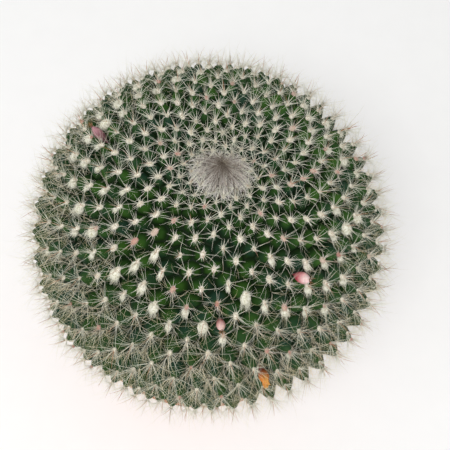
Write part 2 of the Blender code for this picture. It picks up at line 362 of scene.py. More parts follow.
# Painted shade: towards the valleys the skin turns nearly black
lit = add(tree, "ShaderNodeMapRange", {"Value": height, 1: 0.0, 2: 0.45}, interpolation_type="SMOOTHSTEP")
valley_shaded = add(
    tree,
    "ShaderNodeMix",
    {0: lit.outputs[0], 6: linear(SKIN_VALLEY_SHADE), 7: fresh_and_lit.outputs[2]},
    data_type="RGBA",
)
tipped = add(tree, "ShaderNodeMapRange", {"Value": height, 1: 0.6, 2: 1.0, 4: 0.7})
skin = add(
    tree,
    "ShaderNodeMix",
    {0: tipped.outputs[0], 6: valley_shaded.outputs[2], 7: linear(SKIN_TIP)},
    data_type="RGBA",
)
pitted = add(
    tree,
    "ShaderNodeBump",
    {"Height": pores.outputs[0], "Strength": 0.15, "Distance": SKIN_PORE_DEPTH},
)
tree.links.new(skin.outputs[2], shader.inputs["Base Color"])
tree.links.new(pitted.outputs[0], shader.inputs["Normal"])
shader.inputs["Roughness"].default_value = 0.55
shader.inputs["Specular IOR Level"].default_value = 0.08
stem = piece_of("stem_body", stem_mesh, cactus_skin)
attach(stem, "root")
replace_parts(stem, "stem")


# Areoles: a small oval pad of cream felt on every tubercle's tip, longer down the slope
# than across, with short thick fibres that stand out of it. Some are tinged with pink.
PAD_HALF_SIZE = (0.95 * MM, 0.64 * MM, 0.48 * MM)
PAD_SUNK = 0.12 * MM
PAD_ROOM = 4.4 * MM
PAD_SHRUNK = 0.30
PAD_SHRUNK_FROM = 0.7
PAD_SHRUNK_OVER = 0.6

# A pair that a random draw takes is its least and most, or a normal draw's middle and spread
PAD_SPREAD = (0.7, 1.2)
PAD_BLUSHED = 0.15
BLUSH_STRONG = (0.4, 1)
BLUSH_FAINT = (0, 0.06)
PAD_SEED = 21
FIRST_OPEN = math.radians(4)
FELT_FIBRES = 13
FELT_FIBRE_LENGTH = 1.6 * MM
FELT_FIBRE_LENGTHS = (0.6, 1.2)
FELT_FIBRE_WIDTH = 0.16 * MM
FELT_FIBRE_WIDTHS = (0.7, 1.1)
FIBRES_LONGER = 0.7
FIBRES_THINNER = 0.45
FIBRES_GROWN_FROM = 0.6
FIBRES_GROWN_OVER = 0.6
FIBRES_UPRIGHT = (0.25, 1.1)
FIBRES_ROOTED = 0.45
FIBRES_BEND = (0, 0.3)
FIBRES_WAVE = 0.04
FIBRES_TINGED = (0, 0.5)
FELT_CREAM = "#F5F2E6"
FELT_PINK = "#BC4050"
FELT_SHADE = "#B6AA8E"
FELT_GRAIN = 0.22 * MM
FELT_RELIEF = 0.15 * MM

# Every strand of hair: how many waves it may have, and how late it thins to its point
STRAND_WAVES = (0.7, 1.8)
STRAND_TAPER = 0.6


def ramp(values, start, span):
    """0 up to the start, 1 from a span beyond it, and rising evenly in between."""
    return np.clip((values - start) / span, 0, 1)


def corners_and_faces(proto):
    """The corners and the triangles of a small shape, which is used up."""
    bmesh.ops.triangulate(proto, faces=proto.faces[:])
    proto.verts.index_update()
    corners = np.array([vert.co for vert in proto.verts])
    faces = np.array([[vert.index for vert in face.verts] for face in proto.faces])
    proto.free()
    return corners, faces


def mesh_of_copies(name, points, faces, **numbers):
    """One mesh of shapes that share their faces. points holds a row of corners for each of them,
    and numbers are values for each corner, kept as attributes."""
    starts = np.arange(points.shape[0]) * points.shape[1]
    all_faces = (faces[None] + starts[:, None, None]).reshape(-1, 3)
    mesh = bpy.data.meshes.new(name)
    mesh.from_pydata(points.reshape(-1, 3), [], all_faces)
    for title, values in numbers.items():
        kept = mesh.attributes.new(title, "FLOAT", "POINT")
        kept.data.foreach_set("value", values.astype(np.float32))
    mesh.shade_smooth()
    return mesh


def copies(name, proto, places, axes, shade):
    """Many copies of a small shape. axes are three arrays of scaled directions, and shade is one
    number for each copy."""
    corners, faces = corners_and_faces(proto)
    points = places[:, None] + sum(corners[None, :, axis, None] * axes[axis][:, None] for axis in range(3))
    return mesh_of_copies(name, points, faces, shade=np.repeat(shade, len(corners)))


def spokes(first, second, angles):
    """Directions that are turned by angles from the first direction towards the second."""
    return first * np.cos(angles)[:, None] + second * np.sin(angles)[:, None]


def strands(name, roots, heads, lengths, widths, bends, waves, shades, segments, draw):
    """Many tapering three-sided strands. Each leaves its root along its head, bends as the square
    of the way along it, and waves by a share of its length. Its shade is kept for its colour."""
    proto = bmesh.new()
    ring = bmesh.ops.create_circle(proto, cap_ends=True, radius=1, segments=3)["verts"]
    edges = proto.edges[:]
    for _ in range(segments):
        grown = bmesh.ops.extrude_edge_only(proto, edges=edges)["geom"]
        ring = [each for each in grown if isinstance(each, bmesh.types.BMVert)]
        edges = [each for each in grown if isinstance(each, bmesh.types.BMEdge)]
        edges = [edge for edge in edges if set(edge.verts) <= set(ring)]
        bmesh.ops.translate(proto, verts=ring, vec=(0, 0, 1 / segments))
    bmesh.ops.pointmerge(proto, verts=ring, merge_co=(0, 0, 1))
    bmesh.ops.recalc_face_normals(proto, faces=proto.faces[:])
    corners, faces = corners_and_faces(proto)
    count = len(roots)
    along = corners[None, :, 2, None]
    side = unit(np.cross(heads, draw.normal(size=(count, 3))))
    other = np.cross(heads, side)
    phase = draw.uniform(0, 2 * math.pi, (2, count, 1, 1))
    turns = draw.uniform(*STRAND_WAVES, (2, count, 1, 1)) * 2 * math.pi
    sway = np.sin(phase[0] + turns[0] * along) - np.sin(phase[0])
    swing = np.sin(phase[1] + turns[1] * along) - np.sin(phase[1])
    reach = heads[:, None] * along + bends[:, None] * along**2
    reach = reach + waves[:, None, None] * (side[:, None] * sway + other[:, None] * swing)
    taper = (1 - along) ** STRAND_TAPER * widths[:, None, None] / 2
    round_it = side[:, None] * corners[None, :, 0, None] + other[:, None] * corners[None, :, 1, None]
    points = roots[:, None] + lengths[:, None, None] * reach + round_it * taper
    shade = np.repeat(shades, len(corners))
    return mesh_of_copies(name, points, faces, shade=shade, along=np.tile(corners[:, 2], count))


def strand_finish(name, root_colour, tip_colour, shade_colour, roughness):
    """Fine plant hair: one colour at the root, another at the tip, and a third that the strands
    take on by their shade."""
    made, tree, shader = start_material(name)
    along = add(tree, "ShaderNodeAttribute", attribute_name="along").outputs["Fac"]
    shade = add(tree, "ShaderNodeAttribute", attribute_name="shade").outputs["Fac"]
    run = add(
        tree,
        "ShaderNodeMix",
        {0: along, 6: linear(root_colour), 7: linear(tip_colour)},
        data_type="RGBA",
    )
    aged = add(
        tree,
        "ShaderNodeMix",
        {0: shade, 6: run.outputs[2], 7: linear(shade_colour)},
        data_type="RGBA",
    )
    tree.links.new(aged.outputs[2], shader.inputs["Base Color"])
    shader.inputs["Roughness"].default_value = roughness
    shader.inputs["Specular IOR Level"].default_value = 0.3
    return made


def grow(name, mesh, finish):
    """The finished piece, which stands with the plant."""
    made = piece_of(name, mesh, finish)
    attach(made, "root")
    return made


draw = np.random.default_rng(PAD_SEED)
pad = bmesh.new()
bmesh.ops.create_icosphere(pad, subdivisions=2, radius=1)
opened = np.flatnonzero(tip_polar > FIRST_OPEN)
size = np.minimum(1, tip_spacing[opened] / PAD_ROOM) * draw.uniform(*PAD_SPREAD, len(opened))
size = size * (1 - PAD_SHRUNK * ramp(tip_polar[opened], PAD_SHRUNK_FROM, PAD_SHRUNK_OVER))
blush = np.where(
    draw.uniform(0, 1, len(opened)) < PAD_BLUSHED,
    draw.uniform(*BLUSH_STRONG, len(opened)),
    draw.uniform(*BLUSH_FAINT, len(opened)),
)
frame_of_pad = (tip_down[opened], tip_side[opened], tip_out[opened])
pad_mesh = copies(
    "areole_felt",
    pad,
    tip_place[opened] - tip_out[opened] * PAD_SUNK,
    tuple(axis * (length * size)[:, None] for axis, length in zip(frame_of_pad, PAD_HALF_SIZE)),
    blush,
)
owner = np.repeat(np.arange(len(opened)), FELT_FIBRES)
count = len(owner)
spoke = draw.uniform(0, 2 * math.pi, count)
pad_down, pad_side, pad_out = (axis[owner] for axis in frame_of_pad)
flat = spokes(pad_down, pad_side * (PAD_HALF_SIZE[1] / PAD_HALF_SIZE[0]), spoke)
heads = unit(pad_out * draw.uniform(*FIBRES_UPRIGHT, (count, 1)) + flat)
grown = ramp(tip_polar[opened][owner], FIBRES_GROWN_FROM, FIBRES_GROWN_OVER)
long = FELT_FIBRE_LENGTH * size[owner] * (1 + FIBRES_LONGER * grown)
fibre_mesh = strands(
    "areole_fibres",
    tip_place[opened][owner] + flat * (FIBRES_ROOTED * PAD_HALF_SIZE[0] * size[owner])[:, None],
    heads,
    long * draw.uniform(*FELT_FIBRE_LENGTHS, count),
    FELT_FIBRE_WIDTH * draw.uniform(*FELT_FIBRE_WIDTHS, count) * (1 - FIBRES_THINNER * grown),
    flat * draw.uniform(*FIBRES_BEND, (count, 1)),
    np.full(count, FIBRES_WAVE),
    blush[owner] * draw.uniform(*FIBRES_TINGED, count),
    segments=2,
    draw=draw,
)

# Dense plant felt: matt, cream, with short tangled fibres that show as fine grain.
areole_felt, tree, shader = start_material("cream_areole_felt")
where = add(tree, "ShaderNodeTexCoord").outputs["Object"]
fibres = add(tree, "ShaderNodeTexNoise", {"Vector": where, "Scale": 1 / FELT_GRAIN, "Detail": 3.0})
tint = add(tree, "ShaderNodeAttribute", attribute_name="shade").outputs["Fac"]
felt = add(
    tree,
    "ShaderNodeMix",
    {0: tint, 6: linear(FELT_CREAM), 7: linear(FELT_PINK)},
    data_type="RGBA",
)
grain = add(tree, "ShaderNodeMapRange", {"Value": fibres.outputs[0], 1: 0.4, 2: 0.6})
felted = add(
    tree,
    "ShaderNodeMix",
    {0: grain.outputs[0], 6: linear(FELT_SHADE), 7: felt.outputs[2]},
    data_type="RGBA",
)
rough = add(tree, "ShaderNodeBump", {"Height": fibres.outputs[0], "Strength": 0.8, "Distance": FELT_RELIEF})
tree.links.new(felted.outputs[2], shader.inputs["Base Color"])
tree.links.new(rough.outputs[0], shader.inputs["Normal"])
shader.inputs["Roughness"].default_value = 0.95

# The felt's loose fibres: matt and cream from end to end, tinged like the pad they stand on.
felt_fibre = strand_finish("cream_felt_fibre", FELT_CREAM, FELT_CREAM, FELT_PINK, 0.9)
grow("areole_felt", pad_mesh, areole_felt)
grow("areole_fibres", fibre_mesh, felt_fibre)


# Radial spines: a loose star of fine cream hair-like spines round every areole, short and
# stout near the crown, longer, finer and wavier on the sides, and fewer on the young front
# slope. They grow out of the felt.
RADIALS = 17
RADIALS_THINNED = 0.70
THINNED_AT = 0.45
THINNED_WIDTH = 0.20
RADIAL_CROWN = 3.7 * MM
RADIAL_SIDE = 7.0 * MM
RADIAL_WIDTH = 0.082 * MM
RADIAL_CROWN_WIDTH = 0.115 * MM
THICKENED_WITHIN = 0.40
RADIAL_LENGTHS = (0.5, 1.25)
RADIAL_WIDTHS = (0.75, 1.25)
RADIAL_LEAN = (52, 15)
RADIAL_TURN = 0.35
RADIAL_ROOTED = 0.04
RADIAL_BEND = (-0.04, 0.12)
RADIAL_SWEEP = (0.08, 0.16)
RADIAL_WAVE = (0.006, 0.014)
RADIAL_AGED = 0.25
RADIAL_AGED_MOST = 0.9
GROWN_FROM = 0.2
GROWN_OVER = 0.9
RADIAL_SEED = 31
SPINE_CREAM = "#F8F7E6"
SPINE_TAN = "#A0946A"
LAST_SPINED = math.radians(126)

draw = np.random.default_rng(RADIAL_SEED)
spined = np.flatnonzero((tip_polar > FIRST_OPEN) & (tip_polar < LAST_SPINED))
thinned = RADIALS_THINNED * np.exp(-(((tip_polar - THINNED_AT) / THINNED_WIDTH) ** 2))
thinned *= np.clip(-np.sin(tip_azimuth), 0, 1)
owner = np.repeat(spined, RADIALS)
spoke = np.tile(np.arange(RADIALS), len(spined)) * 2 * math.pi / RADIALS
kept = draw.uniform(0, 1, len(owner)) > thinned[owner]
owner = owner[kept]
count = len(owner)
spoke = spoke[kept] + draw.normal(0, RADIAL_TURN, count)
grown = ramp(tip_polar[owner], GROWN_FROM, GROWN_OVER)
lean = np.radians(draw.normal(*RADIAL_LEAN, count))
flat = spokes(tip_down[owner], tip_side[owner], spoke)
aside = np.cross(tip_out[owner], flat)
thick = np.exp(-((tip_polar[owner] / THICKENED_WITHIN) ** 2))
thick = RADIAL_WIDTH + (RADIAL_CROWN_WIDTH - RADIAL_WIDTH) * thick
sweep = draw.normal(0, 1, (count, 1)) * (RADIAL_SWEEP[0] + RADIAL_SWEEP[1] * grown)[:, None]
radial_mesh = strands(
    "radial_spines",
    tip_place[owner] + flat * (RADIAL_ROOTED * tip_spacing[owner])[:, None],
    spokes(tip_out[owner], flat, lean),
    (RADIAL_CROWN + grown * (RADIAL_SIDE - RADIAL_CROWN)) * draw.uniform(*RADIAL_LENGTHS, count),
    thick * draw.uniform(*RADIAL_WIDTHS, count),
    tip_out[owner] * draw.normal(*RADIAL_BEND, (count, 1)) + aside * sweep,
    RADIAL_WAVE[0] + RADIAL_WAVE[1] * grown,
    np.clip(draw.normal(0, RADIAL_AGED, count), 0, RADIAL_AGED_MOST),
    segments=3,
    draw=draw,
)

# Plant spine, a dry horn-like hair: cream with a dull sheen, and some of them aged to tan.
spine_cream = strand_finish("cream_spine", SPINE_CREAM, SPINE_CREAM, SPINE_TAN, 0.55)
grow("radial_spines", radial_mesh, spine_cream)


# Central spines: two stiffer ones that stand up from the middle of each areole, pink-brown
# at the foot and darker at the point. Near the crown most are still pale.
CENTRALS = 2
CENTRAL_CROWN = 2.2 * MM
CENTRAL_SIDE = 4.2 * MM
CENTRAL_WIDTH = 0.18 * MM
CENTRAL_LENGTHS = (0.7, 1.2)
CENTRAL_LEAN = (8, 30)
CENTRAL_TURN = 0.5
CENTRAL_BEND = (0, 0.45)
CENTRAL_WAVE = 0.01
CENTRAL_PALENESS = (0.8, 0.35)
CENTRAL_DARKENED = 0.40
CENTRAL_SEED = 41
CENTRAL_FOOT = "#CC8F68"
CENTRAL_POINT = "#9C6A44"
CENTRAL_PALE = "#EFE8D8"

draw = np.random.default_rng(CENTRAL_SEED)
owner = np.repeat(spined, CENTRALS)
count = len(owner)
grown = ramp(tip_polar[owner], GROWN_FROM, GROWN_OVER)
spoke = np.tile(np.arange(CENTRALS), len(spined)) * math.pi + draw.normal(0, CENTRAL_TURN, count)
lean = np.radians(draw.uniform(*CENTRAL_LEAN, count))
flat = spokes(tip_down[owner], tip_side[owner], spoke)
central_mesh = strands(
    "central_spines",
    tip_place[owner],
    spokes(tip_out[owner], flat, lean),
    (CENTRAL_CROWN + grown * (CENTRAL_SIDE - CENTRAL_CROWN)) * draw.uniform(*CENTRAL_LENGTHS, count),
    np.full(count, CENTRAL_WIDTH),
    flat * draw.uniform(*CENTRAL_BEND, (count, 1)),
    np.full(count, CENTRAL_WAVE),
    np.clip(draw.normal(*CENTRAL_PALENESS, count) - CENTRAL_DARKENED * grown, 0, 1),
    segments=3,
    draw=draw,
)

# Stiff plant spine, harder and glossier than the cream ones, pink-brown with a dark point.
spine_brown = strand_finish("pink_brown_spine", CENTRAL_FOOT, CENTRAL_POINT, CENTRAL_PALE, 0.4)
grow("central_spines", central_mesh, spine_brown)


# Axil wool: pointed tufts of white cotton-like hair that hang under the areoles, thickest
# in a ring half way down the globe, where the plant has flowered. Each is a loose ball
# of wool, drawn to a point down the slope, with single hairs standing off it.
WOOL_RING = math.radians(41)
WOOL_RING_WIDTH = math.radians(8.5)
WOOL_CHANCE = 0.85
WOOL_ELSEWHERE = 0.07
WOOL_HALF_SIZE = (2.0 * MM, 1.35 * MM, 1.15 * MM)
WOOL_POINT = 0.60
WOOL_POINT_POWER = 1.2
WOOL_HANG = (0.92, -0.38)
WOOL_BENEATH = (0.27, -0.14)
WOOL_HAIRS = 60
WOOL_ROOTED = 0.8
WOOL_STARTS = (-0.8, 0.5)
WOOL_DOWNWARD = (0.6, 1.2)
WOOL_OUTWARD = (0, 0.5)
WOOL_BEND = (0.2, -0.35)
WOOL_WAVE = 0.05
WOOL_YELLOWED = (0.15, 0.25)
WOOL_LENGTH = 3.0 * MM
WOOL_LENGTHS = (0.4, 1.1)
WOOL_WIDTH = 0.15 * MM
WOOL_PLUMP = (0.5, 1.15)
WOOL_PLUMP_IN_RING = 0.45
WOOL_SEED = 51
WOOL_WHITE = "#EBE9DA"
WOOL_CREAM = "#B9B596"
WOOL_CURL = 0.45 * MM
WOOL_RELIEF = 0.3 * MM

draw = np.random.default_rng(WOOL_SEED)
near_ring = np.exp(-(((tip_polar - WOOL_RING) / WOOL_RING_WIDTH) ** 2))
chance = WOOL_CHANCE * near_ring + WOOL_ELSEWHERE * (tip_polar > WOOL_RING) * (tip_polar < LAST_SPINED)
woolly = np.flatnonzero(draw.uniform(0, 1, len(tip_polar)) < chance)
plump = draw.uniform(*WOOL_PLUMP, len(woolly)) * (1 - WOOL_PLUMP_IN_RING * (1 - near_ring[woolly]))
ball = bmesh.new()
bmesh.ops.create_icosphere(ball, subdivisions=3, radius=1)
for vert in ball.verts:
    narrow = 1 - WOOL_POINT * max(0.0, vert.co.x) ** WOOL_POINT_POWER
    vert.co.y *= narrow
    vert.co.z *= narrow
hang = tip_down[woolly] * WOOL_HANG[0] + tip_out[woolly] * WOOL_HANG[1]
across = tip_side[woolly]
lift = np.cross(hang, across)
beneath = tip_down[woolly] * WOOL_BENEATH[0] + tip_out[woolly] * WOOL_BENEATH[1]
wool_middle = tip_place[woolly] + beneath * tip_spacing[woolly][:, None]
ball_mesh = copies(
    "axil_wool_balls",
    ball,
    wool_middle,
    tuple(axis * (size * plump)[:, None] for axis, size in zip((hang, across, lift), WOOL_HALF_SIZE)),
    draw.uniform(0, 1, len(woolly)),
)
owner = np.repeat(np.arange(len(woolly)), WOOL_HAIRS)
count = len(owner)
angle = draw.uniform(0, 2 * math.pi, count)
flat = spokes(across[owner], lift[owner], angle)
start = draw.uniform(*WOOL_STARTS, (count, 1))
wide = WOOL_HALF_SIZE[2] * np.sqrt(1 - start**2) * plump[owner][:, None]
along = hang[owner] * start * WOOL_HALF_SIZE[0] * plump[owner][:, None]
heads = hang[owner] * draw.uniform(*WOOL_DOWNWARD, (count, 1))
heads = heads + flat * draw.uniform(*WOOL_OUTWARD, (count, 1))
hair_mesh = strands(
    "axil_wool_hairs",
    wool_middle[owner] + along + flat * wide * WOOL_ROOTED,
    unit(heads),
    WOOL_LENGTH * plump[owner] * draw.uniform(*WOOL_LENGTHS, count),
    np.full(count, WOOL_WIDTH),
    hang[owner] * WOOL_BEND[0] + flat * WOOL_BEND[1],
    np.full(count, WOOL_WAVE),
    np.clip(draw.normal(*WOOL_YELLOWED, count), 0, 1),
    segments=4,
    draw=draw,
)

# Plant cotton: matt and white, its tangle of curls shown as soft lumps and grain.
cotton, tree, shader = start_material("white_axil_wool")
where = add(tree, "ShaderNodeTexCoord").outputs["Object"]
curls = add(tree, "ShaderNodeTexNoise", {"Vector": where, "Scale": 1 / WOOL_CURL, "Detail": 4.0})
tangle = add(tree, "ShaderNodeMapRange", {"Value": curls.outputs[0], 1: 0.35, 2: 0.55})
woolled = add(
    tree,
    "ShaderNodeMix",
    {0: tangle.outputs[0], 6: linear(WOOL_CREAM), 7: linear(WOOL_WHITE)},
    data_type="RGBA",
)
curled = add(tree, "ShaderNodeBump", {"Height": curls.outputs[0], "Strength": 0.9, "Distance": WOOL_RELIEF})
tree.links.new(woolled.outputs[2], shader.inputs["Base Color"])
tree.links.new(curled.outputs[0], shader.inputs["Normal"])
shader.inputs["Roughness"].default_value = 1.0

# Single hairs of the same wool: as white and as matt, a few of them yellowed.
wool_hair = strand_finish("white_wool_hair", WOOL_WHITE, WOOL_WHITE, WOOL_CREAM, 0.9)
grow("axil_wool_balls", ball_mesh, cotton)
grow("axil_wool_hairs", hair_mesh, wool_hair)


# Bristles: long thin wavy white hairs that grow out of the valleys between the tubercles,
# few near the crown and many on the sides, most of all in front, and stand past the
# spines. They arch over, and are drawn thicker than life so that they show.
BRISTLE_LENGTH = 9.2 * MM
BRISTLE_WIDTH = 0.085 * MM
BRISTLES_MOST = 11
BRISTLES_IN_FRONT = 0.35
BRISTLES_FROM = math.radians(30)
BRISTLES_FULL = math.radians(66)
BRISTLES_STRAY = 0.25
BRISTLE_LENGTHS = (0.65, 1.1)
BRISTLE_SHORTEST = 0.4
BRISTLE_LEAN = 34
BRISTLE_LEAN_MOST = 70
BRISTLE_ARCH = (0.1, 0.8)
BRISTLE_DROOP = (0, 0.45)
BRISTLE_SWEEP = 0.3
BRISTLE_WAVE = (0.005, 0.03)
BRISTLE_AGED = 0.3
BRISTLE_SEED = 61
BRISTLE_WHITE = "#FCF9EA"
BRISTLE_TIP = "#FBE6B4"
BRISTLE_WARM = "#C4B486"

draw = np.random.default_rng(BRISTLE_SEED)
many = ramp(axil_polar, BRISTLES_FROM, BRISTLES_FULL - BRISTLES_FROM)
many *= 1 - BRISTLES_IN_FRONT * np.sin(axil_azimuth)
many = np.where(axil_polar < LAST_SPINED, BRISTLES_MOST * many + BRISTLES_STRAY, 0)
number = np.floor(many + draw.uniform(0, 1, len(many))).astype(int)
owner = np.repeat(np.arange(len(axil_polar)), number)
count = len(owner)
spoke = draw.uniform(0, 2 * math.pi, count)
lean = np.radians(np.clip(np.abs(draw.normal(0, BRISTLE_LEAN, count)), 0, BRISTLE_LEAN_MOST))
_, out, down = tip_surface(axil_polar[owner], axil_azimuth[owner])
side = np.cross(out, down)
flat = spokes(down, side, spoke)
sweep = np.cross(out, flat) * draw.normal(0, BRISTLE_SWEEP, (count, 1))
long = BRISTLE_LENGTH * draw.uniform(*BRISTLE_LENGTHS, count)
bristle_values = (
    axil_place[owner],
    spokes(out, flat, lean),
    long * np.clip(axil_polar[owner] / BRISTLES_FULL, BRISTLE_SHORTEST, 1),
    np.full(count, BRISTLE_WIDTH),
    flat * draw.uniform(*BRISTLE_ARCH, (count, 1)) + sweep - out * draw.uniform(*BRISTLE_DROOP, (count, 1)),
    draw.uniform(*BRISTLE_WAVE, count),
    np.clip(draw.normal(0, BRISTLE_AGED, count), 0, 1),
)

# Fine plant bristle: white with a faint sheen, a little yellower to the point and with age.
bristle_white = strand_finish("white_bristle", BRISTLE_WHITE, BRISTLE_TIP, BRISTLE_WARM, 0.5)
half = count // 2
for name, chosen in (("upper_bristles", slice(0, half)), ("lower_bristles", slice(half, count))):
    bristle_mesh = strands(name, *(values[chosen] for values in bristle_values), segments=5, draw=draw)
    grow(name, bristle_mesh, bristle_white)


# Crown wool: fine lilac-grey hairs of the unopened areoles. They lie in over the sunken
# growing point from all round, furthest from the front, and turn brown where they meet, a brown
# that is partly their own and partly painted shade of the sunken middle. Some hairs are painted
# dark as shadow among the hairs.
CROWN_EDGE = 8.3 * MM
CROWN_BACK_SHARE = 0.35
CROWN_MEETING = (-0.4 * MM, 1.4 * MM, -2.2 * MM)
CROWN_HAIRS = 1400
CROWN_HAIR_WIDTH = 0.15 * MM
CROWN_HAIR_WIDTHS = (0.7, 1.3)
CROWN_ROOTED = (0.2, 1.0)
CROWN_SPARE = 0.8 * MM
CROWN_SUNK = 0.5 * MM
CROWN_LIFT = 0.35
CROWN_TURN = 0.75
CROWN_LENGTHS = (0.6, 1.2)
CROWN_ARCH = (0.25, 0.45)
CROWN_TURNED_BACK = 0.8
CROWN_WAVE = 0.02
CROWN_SHADES = (0, 0.35)
# Painted shadow: the share of hairs that are coloured dark for the shadows among the hairs
CROWN_SHADOWED_SHARE = 0.18
CROWN_SEED = 71
CROWN_PALE = "#FFFAF6"
# Painted shade, in part: the brown of the hairs' ends, where they meet over the sunken middle
CROWN_BROWN_AND_SHADE = "#84725A"
CROWN_HAIR_SHADOW = "#5E5145"

draw = np.random.default_rng(CROWN_SEED)
share = draw.uniform(*CROWN_ROOTED, CROWN_HAIRS)
around = draw.uniform(0, 2 * math.pi, CROWN_HAIRS)
edge = CROWN_EDGE * (1 - CROWN_BACK_SHARE * np.clip(np.sin(around), 0, 1))
root, out, down = tip_surface(np.arcsin(share * edge / GLOBE_RADIUS), around)
side = np.cross(out, down)
inward = np.array([0, 0, GLOBE_MIDDLE + GLOBE_HALF_HEIGHT]) + CROWN_MEETING - root
reach = np.linalg.norm(inward, axis=1)
turn = draw.normal(0, CROWN_TURN, (CROWN_HAIRS, 1))
heads = unit(inward / reach[:, None] + out * CROWN_LIFT + side * turn)
crown_mesh = strands(
    "crown_wool",
    root - out * CROWN_SUNK,
    heads,
    reach * draw.uniform(*CROWN_LENGTHS, CROWN_HAIRS) + CROWN_SPARE,
    CROWN_HAIR_WIDTH * draw.uniform(*CROWN_HAIR_WIDTHS, CROWN_HAIRS),
    -out * draw.uniform(*CROWN_ARCH, (CROWN_HAIRS, 1)) - side * turn * CROWN_TURNED_BACK,
    np.full(CROWN_HAIRS, CROWN_WAVE),
    # Painted shadow: some hairs take the dark colour fully, the rest a little of it at random
    np.where(
        draw.uniform(0, 1, CROWN_HAIRS) < CROWN_SHADOWED_SHARE,
        1,
        draw.uniform(*CROWN_SHADES, CROWN_HAIRS),
    ),
    segments=5,
    draw=draw,
)

# Young crown wool: matt and lilac-white at its root, browner to its end, partly with painted shade
# of the sunken middle, and some hairs painted dark as shadow among the others.
crown_lilac = strand_finish("lilac_crown_wool", CROWN_PALE, CROWN_BROWN_AND_SHADE, CROWN_HAIR_SHADOW, 0.7)
grow("crown_wool", crown_mesh, crown_lilac)


# Fruits: three young ones, smooth pink drops that have swollen out of the axils where
# flowers were, with the brown dry remains of the flower on their end. Each is given by
# its name, its degrees from the crown and round it, its radius, length and two colours.
FRUITS = (
    ("fruit_right", 38, -40, 1.35 * MM, 8.4 * MM, "#D6616F", "#F0CFCB"),
    ("fruit_front", 46, -79, 1.05 * MM, 7.1 * MM, "#C8807F", "#EBC6BE"),
    ("fruit_left", 42, 167, 1.15 * MM, 7.5 * MM, "#8A5A62", "#A8777F"),
)
FRUIT_LATE = 1.30
FRUIT_LIFT = 0.3 * MM
FRUIT_CELL = 0.5 * MM
FRUIT_LIGHT_DEPTH = 0.8 * MM
REMAIN_START = 0.97
REMAIN_ROOM = 0.2 * MM
REMAIN_HAIRS = 9
REMAIN_LENGTH = 1.6 * MM
REMAIN_WIDTH = 0.22 * MM
REMAIN_LENGTHS = (0.6, 1.1)
REMAIN_HEADING = (0.9, 0.4)
REMAIN_BEND = 0.3
REMAIN_WAVE = 0.06
REMAIN_SHADES = (0, 0.6)
REMAIN_BROWN = "#7A5138"
REMAIN_TAN = "#B08A62"
REMAIN_SEED = 81


def axil_near(polar_degrees, azimuth_degrees):
    """The axil nearest to two angles, and the direction out of the globe there."""
    polar = math.radians(polar_degrees)
    top, out, _ = tip_surface(polar, math.radians(azimuth_degrees))
    wanted = top - out * TUBERCLE_DEPTH * float(spacing(polar))
    index = np.linalg.norm(axil_place - wanted, axis=1).argmin()
    return axil_place[index], axil_out[index]


def drop(name, place, out, radius, length, late):
    """A drop that stands on its point. The larger late is, the nearer to its end it is widest."""
    shape = bmesh.new()
    bmesh.ops.create_uvsphere(shape, u_segments=28, v_segments=22, radius=1)
    along = shape.verts.layers.float.new("along")
    turn = Vector((0, 0, 1)).rotation_difference(Vector(out))
    for vert in shape.verts:
        share = (vert.co.z + 1) / 2
        flat = math.hypot(vert.co.x, vert.co.y) or 1
        wide = radius * math.sin(math.pi * share**late) / flat
        vert[along] = share
        vert.co = turn @ Vector((vert.co.x * wide, vert.co.y * wide, share * length)) + Vector(place)
    mesh = bpy.data.meshes.new(name)
    shape.to_mesh(mesh)
    shape.free()
    mesh.shade_smooth()
    return mesh


draw = np.random.default_rng(REMAIN_SEED)

